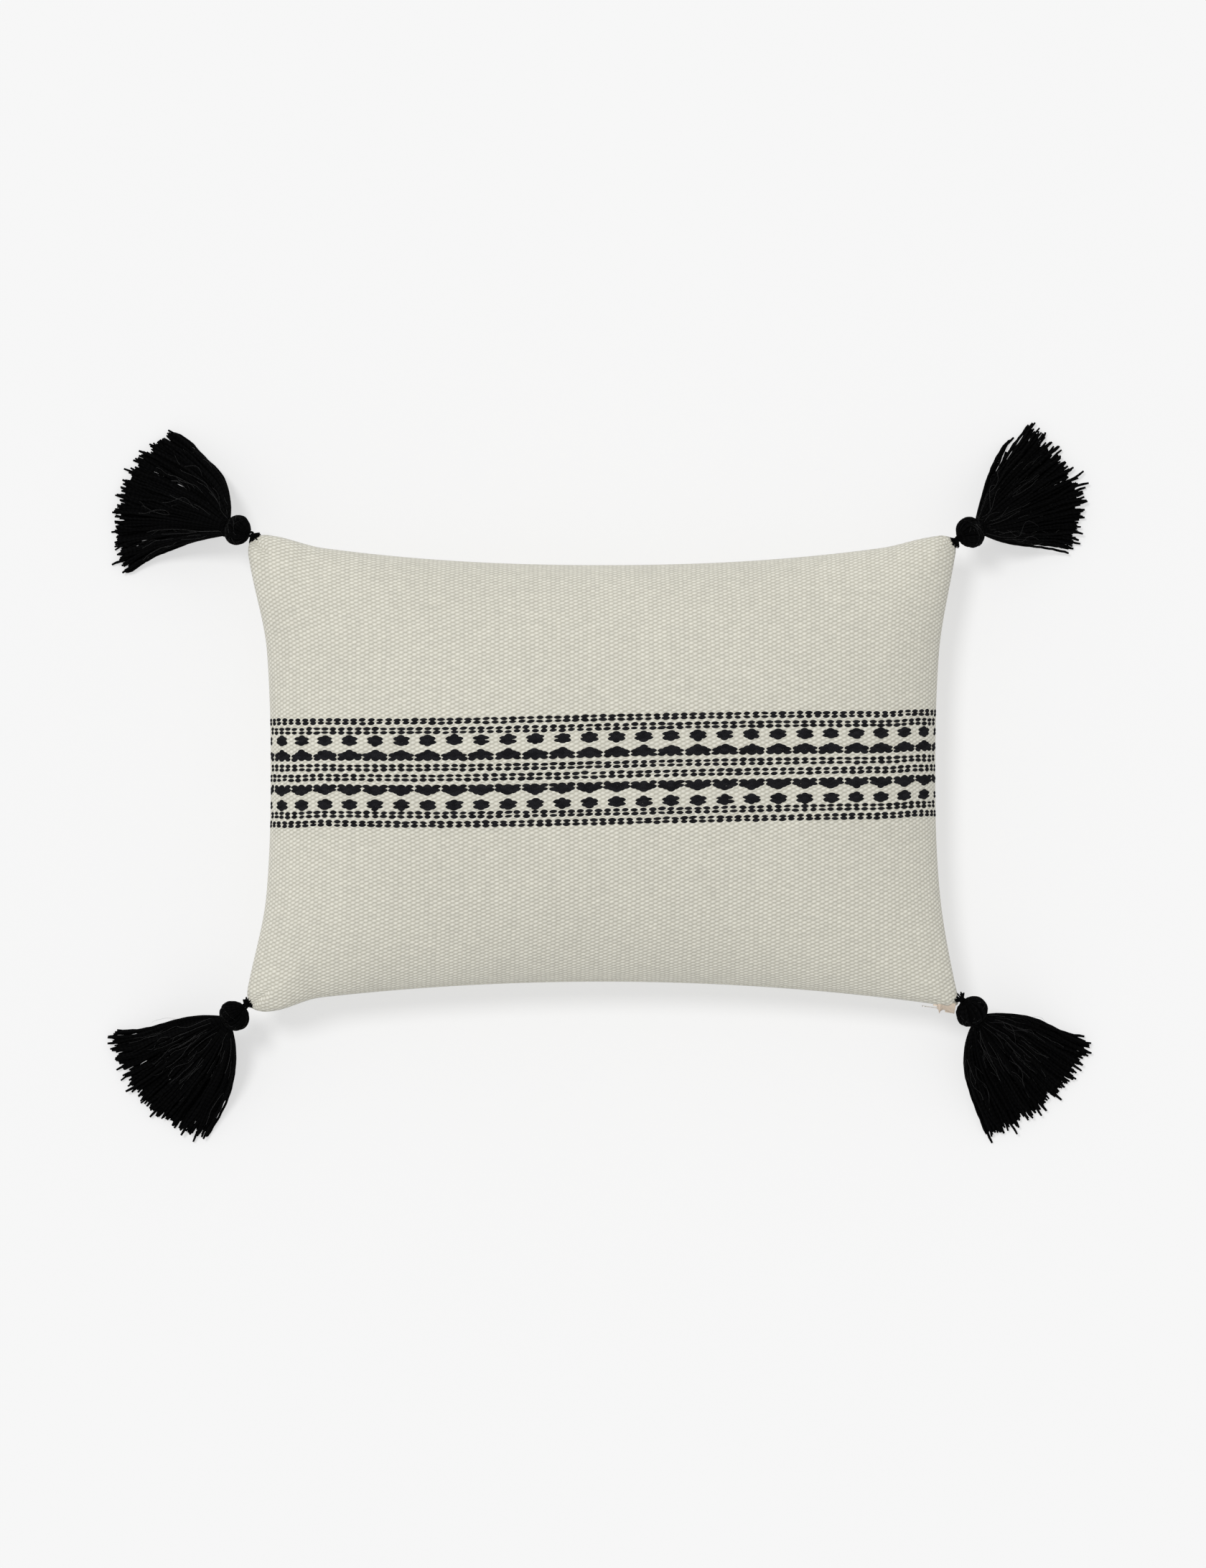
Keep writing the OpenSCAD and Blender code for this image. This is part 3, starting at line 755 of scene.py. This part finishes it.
def band():
    """Each float is a pointed lens of yarn that stands proud of the cloth."""
    chance = np.random.default_rng(21)
    floats = band_floats()
    floats = floats[np.abs(floats[:, 0] * DOT_PITCH) < CUT[0] / 2 - 0.002]
    m = len(floats)
    middle_s = floats[:, 0] * DOT_PITCH + chance.normal(0, 0.00018, m)
    middle_t = floats[:, 1] * LATTICE + BAND_Y + chance.normal(0, 0.00016, m)
    half_l = floats[:, 2] * chance.normal(1, 0.07, m)
    half_h = floats[:, 3] * chance.normal(1, 0.1, m)
    lean = chance.normal(0.03, 0.06, m)
    steps, ribs = 9, 7
    along = eased(steps)[None, :, None]
    across = eased(ribs)[None, None, :]
    x = along * half_l[:, None, None] * np.ones_like(across)
    bulge = 1 - np.abs(along) ** 2.3
    y = across * bulge * half_h[:, None, None]
    plump = np.sqrt(np.clip(1 - across**2, 0, 1)) * np.sqrt(np.clip(bulge, 0, 1))
    rise = FLOAT_RISE * plump * chance.normal(1, 0.12, m)[:, None, None] - FLOAT_SUNK
    s = middle_s[:, None, None] + x - y * lean[:, None, None]
    t = middle_t[:, None, None] + y + x * lean[:, None, None]
    place, normal = on_front(s, t + skew(s))
    points = place + normal * rise[..., None]
    index = np.arange(m * steps * ribs).reshape(m, steps, ribs)
    quads = np.stack([index[:, :-1, :-1], index[:, 1:, :-1], index[:, 1:, 1:], index[:, :-1, 1:]], -1)
    # The underside is one strip from edge to edge, so that every lens is closed
    left, right = index[:, :, 0], index[:, :, -1]
    under = np.stack([left[:, :-1], right[:, :-1], right[:, 1:], left[:, 1:]], -1)
    every = np.concatenate([quads.reshape(-1, 4), under.reshape(-1, 4)])
    ends = np.concatenate([index[:, 0, ::-1], index[:, -1]]).reshape(-1, ribs)
    yarn = np.stack([x, np.broadcast_to(across / 4 + 0.25, x.shape)], -1).reshape(-1, 2)
    uv = np.concatenate([yarn[every].reshape(-1, 2), yarn[ends].reshape(-1, 2)])
    mesh = mesh_of("band_yarn", points.reshape(-1, 3), every.tolist() + ends.tolist(), "yarn", uv)
    put_on_points(mesh, "strand", np.repeat(chance.random(m), steps * ribs))
    return new_object("front_band_yarn", mesh, band_black)


hand_over(band(), "pillow", "woven_pattern")


# ======== the zip
def along_zip(x, out=0.0, z=0.0):
    """Points at places on X along the zip's curve, so far into the pillow, and z above the seam."""
    angle = np.arcsin(x / ZIP_RADIUS)
    radius = ZIP_RADIUS + out
    return np.stack([radius * np.sin(angle), ZIP_CENTRE_Y + radius * np.cos(angle), SEAM_Z + z + 0 * x], -1)


COIL_PITCH = 0.0013
COIL_WIRE = 0.00027
COIL_STEPS = 8
COIL_MIDDLE = 0.00125  # in from the zip's line, and up from the seam
COIL_R = 0.00095


def coil(name, side):
    """One coil of the chain: a flattened helix, with its heads towards the other coil."""
    low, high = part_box(name)
    start, end = low.x + COIL_WIRE, high.x - COIL_WIRE
    turns = int((end - start) / COIL_PITCH)
    angle = np.arange(turns * COIL_STEPS + 1) * 2 * math.pi / COIL_STEPS
    x = start + (end - start) * angle / angle[-1]
    depth = COIL_MIDDLE + (COIL_R - COIL_WIRE) * np.cos(angle)
    rise = side * (COIL_MIDDLE + (COIL_R - COIL_WIRE) * np.sin(angle))
    path = along_zip(x, depth, rise)[None]
    made = tubes(name + "_wire", path, COIL_WIRE, coil_beige, up=(1, 0, 0), sides=5)
    hand_over(made, "pillow", "zip_coil", name)


coil("zip_coil_front", 1)
coil("zip_coil_back", -1)


def dress(node, material, bevel=None):
    """A carried-over CAD node: its own material, and softened edges."""
    piece = frame["nodes"][node]
    piece.data.materials.clear()
    piece.data.materials.append(material)
    if bevel:
        modifier = piece.modifiers.new("edges", "BEVEL")
        modifier.width = bevel
        modifier.segments = 3
        modifier.limit_method = "ANGLE"


for node in ("zip_tape_front", "zip_tape_back"):
    dress(node, tape_beige)
for node in ("zip_top_stops", "zip_bottom_stop", "zip_pull"):
    dress(node, pull_metal, 0.00015)
dress("zip_slider", slider_paint, 0.00035)


TAPE_END_X = (0.2815, 0.2967)
TAPE_END_OUT = (0.0018, 0.0058)  # how far past the zip's line it reaches, at its start and at the corner
TAPE_END_IN = 0.003
TAPE_END_Z = 0.0043
TAPE_END_T = 0.0006
TAPE_BUNCH = 0.0036


def tape_end():
    """The front tape's cut end: it comes out, bunched, over the slider and widens to the corner."""
    across, down = np.meshgrid(np.linspace(0, 1, 41), np.linspace(0, 1, 9))
    x = TAPE_END_X[0] + (TAPE_END_X[1] - TAPE_END_X[0]) * across
    bunch = TAPE_BUNCH * np.exp(-(((across - 0.17) / 0.11) ** 2)) * (1 + 0.25 * np.sin(46 * across))
    out = TAPE_END_OUT[0] + (TAPE_END_OUT[1] - TAPE_END_OUT[0]) * across**0.8 + bunch
    z = TAPE_END_Z + 0.0009 * np.sin(math.pi * down) - 0.0022 * down**2
    z += 0.0003 * np.sin(9 * across) + 0.3 * bunch * down
    top = along_zip(x, TAPE_END_IN - (TAPE_END_IN + out) * down, z)
    made = slab("zip_tape_end", top, top - (0, 0, TAPE_END_T), tape_beige, outside=-1)
    hand_over(made, "pillow", "zip_tape")


tape_end()


TOPSTITCH_ROW = 2  # points of the panel's grid in from its edge
TOPSTITCH_PITCH = 0.0042
TOPSTITCH_LENGTH = 0.0030
TOPSTITCH_R = 0.00028
TOPSTITCH_FROM_CORNER = 0.012


def topstitching(side):
    """A row of short cream stitches that holds the tape behind the cover's folded edge."""
    skin = front_skin if side > 0 else back_skin
    normals = outward(skin, side)
    path, lift = skin[TOPSTITCH_ROW], normals[TOPSTITCH_ROW]
    steps = lengths_along(path)
    starts = np.arange(TOPSTITCH_FROM_CORNER, steps[-1] - TOPSTITCH_FROM_CORNER, TOPSTITCH_PITCH)
    share = np.linspace(0, 1, 6)
    where = starts[:, None] + TOPSTITCH_LENGTH * share
    paths = np.stack([np.interp(where, steps, path[:, k]) for k in range(3)], -1)
    ups = np.stack([np.interp(where, steps, lift[:, k]) for k in range(3)], -1)
    dip = 0.0003 - 0.0007 * np.abs(2 * share - 1) ** 4
    paths = paths + ups * dip[None, :, None]
    name = "zip_topstitch_" + ("front" if side > 0 else "back")
    hand_over(tubes(name, paths, TOPSTITCH_R, cream_thread, up=ups), "pillow", "woven_cotton")


topstitching(1)
topstitching(-1)


# ======== tassels
joints = {j["name"]: j for j in frame["joints"]}
DROOP = math.radians(26.5)
HEAD_MID, HEAD_FRONT, HEAD_BACK, HEAD_R = 0.0078, 0.0108, 0.0098, 0.0120
HEAD_SIZE = {"top_left": 1.04, "top_right": 1.10, "bottom_left": 1.09, "bottom_right": 1.14}
HEAD_STRANDS = 38
NECK_R = 0.0072
TIE_MID = 0.0176
TIE_LENGTH = 0.0028
TIE_R = 0.00036
YARN_R = 0.00105
FUZZ_R = 0.00007
STRANDS = 330
CLUMPS = 34
SEEDS = {"top_left": 31, "top_right": 32, "bottom_left": 33, "bottom_right": 34}
# Each fan's two outermost yarns, in degrees from its middle: where their tips are, how they leave the neck
# and how they run at the tip. Then how far the yarns reach, how much shorter they are at the first edge and
# in the middle, how unevenly they are cut, and how far a short tuft strays past the second edge.
FANS = {
    "top_left": ((-42, 38), (-76, 24), (-20, 50), 0.0945, 0.0, 0.0, 0.030, 0),
    "top_right": ((-40.5, 36.5), (-50, 46), (-48, 30), 0.0955, 0.19, 0.08, 0.055, 6),
    "bottom_left": ((-34, 37), (-44, 60), (-42, 22), 0.0980, 0.0, 0.02, 0.036, 0),
    "bottom_right": ((-33.5, 38), (-62, 56), (-22, 34), 0.0975, 0.0, 0.08, 0.045, 0),
}
TUFT_YARNS = 9


class Place:
    """A frame on a tassel's pin: x level and away from the pillow, y to the left of that, z up."""

    def __init__(self, corner):
        lift = joints["lift_" + corner]
        swing = joints["swing_" + corner]
        self.pin = np.array(lift["pos_m"])
        self.pivot = np.array(swing["pos_m"])
        axis = lift["axis"]
        self.yaw = math.atan2(axis[0], -axis[1])
        x = np.array([math.cos(self.yaw), math.sin(self.yaw), 0])
        y = np.array([-x[1], x[0], 0])
        z = np.array([0, 0, 1])
        self.level = np.stack([x, y, z])
        self.tilted = np.stack([
            x * math.cos(DROOP) - z * math.sin(DROOP), y, x * math.sin(DROOP) + z * math.cos(DROOP)])

    def put(self, points):
        return self.pin + points @ self.level

    def put_tilted(self, points):
        return self.pin + points @ self.tilted


def head(place, corner):
    """Yarns folded over the top: they run down the egg side by side, a little askew, to the tied neck."""
    strands, steps = HEAD_STRANDS, 15
    front, widest = HEAD_FRONT * HEAD_SIZE[corner], HEAD_R * HEAD_SIZE[corner]
    start = HEAD_MID - front
    a = start + (TIE_MID - start) * np.linspace(0, 1, steps) ** 1.3
    half = np.where(a < HEAD_MID, front, HEAD_BACK)
    profile = widest * np.sqrt(np.clip(1 - ((a - HEAD_MID) / half) ** 2, 0.012, 1))
    neck = NECK_R - 0.0003
    profile = np.where(a > HEAD_MID, np.maximum(profile, neck), profile)
    chance = np.random.default_rng(SEEDS[corner] + 100)
    turn = np.linspace(0, 2 * math.pi, strands, endpoint=False) + chance.normal(0, 0.02, strands)
    twist = 0.55 * (a - a[0]) / (a[-1] - a[0])
    arch = np.sin(np.linspace(0, math.pi, steps))[None]
    angle = turn[:, None] + twist[None] + chance.normal(0, 0.09, (strands, 1)) * arch
    radius = profile[None] - 0.0008 + chance.normal(0, 0.0003, (strands, 1)) * arch
    local = np.stack([np.broadcast_to(a, angle.shape), radius * np.cos(angle), radius * np.sin(angle)], -1)
    spoke = np.stack([0 * angle, np.cos(angle), np.sin(angle)], -1)
    thick = np.clip(profile * 2 * math.pi / strands * 0.60, 0.0003, 0.0013)
    paths = place.put_tilted(local)
    made = tubes(f"tassel_head_{corner}_yarn", paths, thick[None], tassel_black, up=spoke @ place.tilted)
    hand_over(made, f"tassel_{corner}", "black_yarn", f"tassel_head_{corner}")
    # Loose fibres that have sprung off the yarns, painted grey as highlights on the black
    count, bits = 46, 9
    share = np.linspace(0, 1, bits)[None]
    run = chance.uniform(0.002, 0.0125, (count, 1))
    run = run + 0.0045 * share * chance.uniform(-1, 1, (count, 1))
    turn = chance.uniform(0, 2 * math.pi, (count, 1)) + share * chance.normal(0, 0.5, (count, 1))
    off = np.interp(run, a, profile) + 0.0002 + 0.0005 * np.sin(math.pi * share) * chance.random((count, 1))
    fibres = np.stack([run, off * np.cos(turn), off * np.sin(turn)], -1)
    hair = tubes(f"tassel_head_{corner}_fuzz", place.put_tilted(fibres), 0.00006, fuzz_highlight_grey, sides=3)
    hand_over(hair, f"tassel_{corner}", "black_yarn")
    # The yarns' inside, which would otherwise show between them
    ring = np.linspace(0, 2 * math.pi, 25)[:-1]
    inner = (profile - 0.0012)[:, None]
    core = np.stack([a[:, None] + 0 * ring, inner * np.cos(ring), inner * np.sin(ring)], -1)
    rows, columns = core.shape[:2]
    index = np.arange(rows * columns).reshape(rows, columns)
    faces = tube_faces(index).tolist()
    faces += [index[0, ::-1].tolist(), index[-1].tolist()]
    uv = np.zeros((sum(len(face) for face in faces), 2))
    mesh = mesh_of("core", place.put_tilted(core.reshape(-1, 3)), faces, "yarn", uv)
    hand_over(new_object(f"tassel_head_{corner}_core", mesh, tassel_black), f"tassel_{corner}", "black_yarn")


def tie(place, corner):
    """Five close turns of thread round the neck."""
    turns, steps = 5, 24
    angle = np.linspace(0, 2 * math.pi * turns, turns * steps + 1)
    share = angle / angle[-1]
    radius = NECK_R + 0.0009 + 0.0002 * np.sin(angle * 3.3)
    a = TIE_MID + TIE_LENGTH * (share - 0.5)
    local = np.stack([a, radius * np.cos(angle), radius * np.sin(angle)], -1)
    made = tubes(f"neck_tie_{corner}_thread", place.put_tilted(local)[None], TIE_R, tassel_black,
        up=place.tilted[0])
    hand_over(made, f"tassel_{corner}", "black_yarn", f"neck_tie_{corner}")


def bezier(a, b, c, d, t):
    return (1 - t) ** 3 * a + 3 * (1 - t) ** 2 * t * b + 3 * (1 - t) * t * t * c + t**3 * d


def skirt_paths(corner, count, chance, length, steps=22):
    """Yarns that leave the neck, spread into a fan and sag until their tips lie on the surface."""
    eta = np.clip(np.linspace(-1, 1, count) + chance.normal(0, 0.03, count), -1.03, 1.03)
    zeta = chance.uniform(-1, 1, count)
    clumps = np.linspace(-1, 1, CLUMPS) + chance.normal(0, 0.015, CLUMPS)
    nearest = clumps[np.abs(eta[:, None] - clumps[None]).argmin(1)]
    *edges, _, shorter, hollow, _, stray = FANS[corner]
    tip_eta = eta * 0.76 + nearest * 0.24

    def fan(share, edge):
        return np.radians(share * np.where(share < 0, -edge[0], edge[1]))

    tip = fan(tip_eta, edges[0]) + chance.normal(0, 0.012, count)
    leave = fan(eta, edges[1])
    arrive = fan(eta, edges[2]) + chance.normal(0, 0.05, count)
    length = length * (1 - shorter * smooth_rise(-eta * 1.4 - 0.4)) * (1 - hollow * (1 - eta**2))
    if stray:
        tip[-TUFT_YARNS:] += math.radians(stray)
        length[-TUFT_YARNS:] *= 0.80
    neck_x, neck_z = TIE_MID * math.cos(DROOP), -TIE_MID * math.sin(DROOP)
    start = np.stack([np.full(count, neck_x), eta * NECK_R * 0.93], -1)
    end = np.stack([neck_x + length * np.cos(tip), length * np.sin(tip)], -1)
    reach = (length / 3)[:, None]
    second = start + reach * 1.2 * np.stack([np.cos(leave), np.sin(leave)], -1)
    third = end - reach * np.stack([np.cos(arrive), np.sin(arrive)], -1)
    t = np.linspace(0, 1, steps)[None, :, None]
    level = bezier(start[:, None], second[:, None], third[:, None], end[:, None], t)
    t = t[..., 0]
    z_start = neck_z + zeta * NECK_R * 0.9 * np.sqrt(np.clip(1 - eta**2, 0.05, 1))
    z_end = -SEAM_Z + YARN_R + 0.0003 + (zeta + 1) * 0.0028
    sag = 1.62 - 0.42 * zeta
    z = z_end[:, None] + (z_start - z_end)[:, None] * (1 - t) ** sag[:, None]
    # Crimp left from the twist, and a slow wander
    phase = chance.uniform(0, 2 * math.pi, (2, count, 1))
    rate = chance.uniform(1.0, 2.4, (count, 1))
    drift = chance.normal(0, 0.0011, (count, 1))
    side = drift * np.sin(2 * math.pi * rate * t + phase[0]) * t
    side += 0.0003 * np.sin(2 * math.pi * 7 * t + phase[1]) * t
    rise = 0.0008 * np.sin(2 * math.pi * rate * t + phase[1]) * t * (1 - t)
    level[..., 0] += -np.sin(tip)[:, None] * side
    level[..., 1] += np.cos(tip)[:, None] * side
    low = -SEAM_Z + YARN_R + 0.0001
    return np.concatenate([level, np.maximum(z + rise, low)[..., None]], -1)


def skirt(place, corner):
    chance = np.random.default_rng(SEEDS[corner])
    reach, uneven = FANS[corner][3], FANS[corner][6]
    length = reach * chance.normal(1, uneven, STRANDS)
    length += np.where(chance.random(STRANDS) < 0.12, chance.uniform(0, 0.006, STRANDS), 0)
    local = skirt_paths(corner, STRANDS, chance, length)
    steps = local.shape[1]
    swell = np.interp(np.linspace(0, 1, steps), [0, 0.12, 0.5, 0.97, 1], [0.72, 0.85, 1, 1.06, 0.8])
    radii = YARN_R * swell[None] * chance.normal(1, 0.08, (STRANDS, 1))
    made = tubes(f"tassel_skirt_{corner}_yarn", place.put(local), radii, tassel_black, sides=7)
    hand_over(made, f"tassel_{corner}", "black_yarn", f"tassel_skirt_{corner}")
    # Loose fibres on top of the yarns, painted grey as highlights on the black
    count, bits = 110, 14
    stray = skirt_paths(corner, count, chance, reach * chance.uniform(0.9, 1.0, count), 40)
    begin = chance.integers(0, 24, count)
    pick = begin[:, None] + np.arange(bits)[None]
    fuzz = stray[np.arange(count)[:, None], pick]
    fuzz[..., 2] += chance.uniform(0.002, 0.0075, (count, 1))
    t = np.linspace(0, 1, bits)[None]
    for axis, sway in ((1, 0.0022), (0, 0.0014)):
        size = chance.normal(0, sway, (count, 1))
        fuzz[..., axis] += size * np.sin(math.pi * t * chance.uniform(0.6, 2.2, (count, 1)))
    hair = tubes(f"tassel_fuzz_{corner}", place.put(fuzz), FUZZ_R, fuzz_highlight_grey, sides=3)
    hand_over(hair, f"tassel_{corner}", "black_yarn")


LOOP_RING_R = 0.00185
LOOP_CORD_R = 0.00095
LOOP_END_Y = 0.0011
LOOP_END_X = 0.0008


def loop(place, corner):
    """A short loop of cord round the stitches' bar, and its two ends side by side into the head."""
    yaw, side = place.level[:2]
    angle = np.linspace(math.radians(40), math.radians(320), 25)
    ring = place.pivot + LOOP_RING_R * (np.cos(angle)[:, None] * yaw + np.sin(angle)[:, None] * side)
    reach = np.linspace(0, 1, 8)[1:, None]
    pin = place.pin + yaw * LOOP_END_X
    first = ring[0] + (pin + side * LOOP_END_Y - ring[0]) * reach
    last = ring[-1] + (pin - side * LOOP_END_Y - ring[-1]) * reach
    path = np.concatenate([first[::-1], ring, last])
    made = tubes(f"hang_loop_{corner}_cord", path[None], LOOP_CORD_R, tassel_black, sides=10)
    hand_over(made, f"loop_{corner}", "black_yarn", f"hang_loop_{corner}")


def cover_height(x, y, skin):
    """How far the cover is above or below the seam over points near its edge."""
    flat = skin[..., :2].reshape(-1, 2)
    away = np.hypot(x[:, None] - flat[None, :, 0], y[:, None] - flat[None, :, 1]) + 1e-5
    near = np.argsort(away, axis=1)[:, :4]
    weight = 1 / np.take_along_axis(away, near, 1) ** 2
    return (skin[..., 2].ravel()[near] * weight).sum(1) / weight.sum(1) - SEAM_Z


STITCHES = 11
STITCH_SPREAD = 0.95  # how far the outermost stitches turn from the corner's middle line
STITCH_BITE = 0.0072
STITCH_R = 0.00065
STITCH_LIFT = 0.00035


def corner_stitches(place, corner):
    """Black stitches that wrap the cover's corner and leave an upright bar for the loop."""
    inward = -place.pivot[:2]
    centre_line = math.atan2(*np.sign(inward)[::-1])
    chance = np.random.default_rng(SEEDS[corner] + 200)
    paths = []
    for spread in np.linspace(-STITCH_SPREAD, STITCH_SPREAD, STITCHES):
        angle = centre_line + spread + chance.normal(0, 0.05)
        bite = STITCH_BITE * chance.uniform(0.75, 1.1)
        leg = np.linspace(1, 0.12, 7) * bite
        distance = np.concatenate([leg, [0.0003, -0.0002, 0.0003], leg[::-1]])
        x = place.pivot[0] + math.cos(angle) * distance
        y = place.pivot[1] + math.sin(angle) * distance
        top = cover_height(x, y, front_skin) + STITCH_LIFT
        bottom = cover_height(x, y, back_skin) - STITCH_LIFT
        z = np.concatenate([top[:7], [0.0016, 0, -0.0016], bottom[10:]])
        z[0] -= 0.0012
        z[-1] += 0.0012
        paths.append(np.stack([x, y, SEAM_Z + z], -1))
    made = tubes(f"corner_stitch_{corner}_thread", np.array(paths), STITCH_R, tassel_black,
        up=(math.sin(centre_line), -math.cos(centre_line), 0.1))
    hand_over(made, "pillow", "black_yarn", f"corner_stitch_{corner}")


for corner in CORNERS:
    place = Place(corner)
    head(place, corner)
    tie(place, corner)
    skirt(place, corner)
    loop(place, corner)
    corner_stitches(place, corner)


# ======== studio
VIEW_CENTRE_Y = -0.0085
VIEW_HEIGHT = 1.3219  # of the picture, on the level of the seam
LENS = 150
SENSOR = 36
FLOOR_SIZE = 30
FLOOR_TONE = (0.40, 0.40, 0.40)
FLOOR_GLOW = 0.526
SKY = 0.60
SUN = 1.4
SUN_ANGLE = 15
SUN_DIRECTION = (0.35, -0.36, -1.15)


def studio():
    floor_mesh = mesh_of("floor", [(-FLOOR_SIZE, -FLOOR_SIZE, 0), (FLOOR_SIZE, -FLOOR_SIZE, 0),
        (FLOOR_SIZE, FLOOR_SIZE, 0), (-FLOOR_SIZE, FLOOR_SIZE, 0)], [(0, 1, 2, 3)])
    paper = Finish("floor_paper", 0.9, 0.0)
    cloud = paper.noise(paper.object_point(), 3.0)
    paper.colour(paper.scaled(FLOOR_TONE, paper.remap(cloud, 0.2, 0.8, 0.995, 1.005)))
    paper.shader.inputs["Emission Color"].default_value = (1, 1, 1, 1)
    paper.shader.inputs["Emission Strength"].default_value = FLOOR_GLOW
    floor = new_object("floor", floor_mesh, paper.material)
    floor.location.z = -0.0002

    world = bpy.data.worlds.new("studio")
    bpy.context.scene.world = world
    world.use_nodes = True
    background = world.node_tree.nodes["Background"]
    background.inputs["Color"].default_value = (1, 1, 1, 1)
    background.inputs["Strength"].default_value = SKY

    sun = bpy.data.lights.new("key", "SUN")
    sun.energy = SUN
    sun.angle = math.radians(SUN_ANGLE)
    key = linked("key", sun)
    key.rotation_euler = Vector(SUN_DIRECTION).to_track_quat("-Z", "Y").to_euler()

    lens = bpy.data.cameras.new("camera")
    lens.lens = LENS
    lens.sensor_width = SENSOR
    camera = linked("camera", lens)
    distance = VIEW_HEIGHT * LENS / SENSOR
    camera.location = (0, VIEW_CENTRE_Y, SEAM_Z + distance)
    lens.clip_end = distance * 4
    bpy.context.scene.camera = camera
    bpy.context.scene.view_settings.view_transform = "Standard"


studio()
